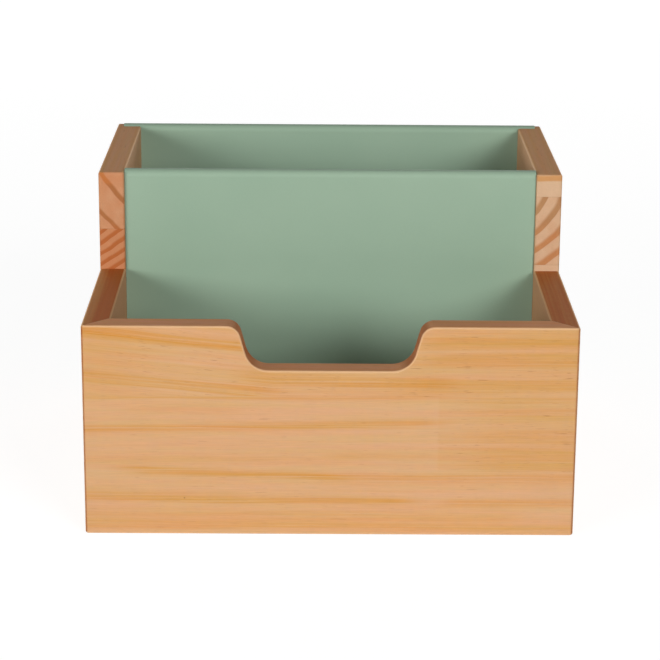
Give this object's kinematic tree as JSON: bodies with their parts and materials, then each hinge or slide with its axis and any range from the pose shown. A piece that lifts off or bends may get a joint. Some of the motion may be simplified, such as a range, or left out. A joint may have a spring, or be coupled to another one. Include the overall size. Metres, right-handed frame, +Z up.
{
  "type": "desk organizer",
  "caption": "Open two-tier pine desk organizer with a scooped mitred front, stepped sides and sage painted middle, back and bottom panels, for papers and small desk things.",
  "frame": {"origin": "on the desk, under the middle of the footprint", "axes": "+Z up, -Y towards the scooped front, +X to the right of a person facing the front"},
  "size_m": [0.27, 0.26, 0.179],
  "materials": {
    "pine": "clear satin varnish on edge-glued pine",
    "sage_paint": "eggshell sage green paint on fibreboard",
    "plywood": "bare birch plywood",
    "zinc_screw": "zinc plated"
  },
  "bodies": {
    "root": {"front_board": "pine", "left_side": "pine", "right_side": "pine", "middle_panel": "sage_paint", "back_panel": "sage_paint", "bottom_panel": "sage_paint", "left_mitre_tongue": "plywood", "right_mitre_tongue": "plywood", "back_panel_screws": "zinc_screw"}
  },
  "joints": []
}
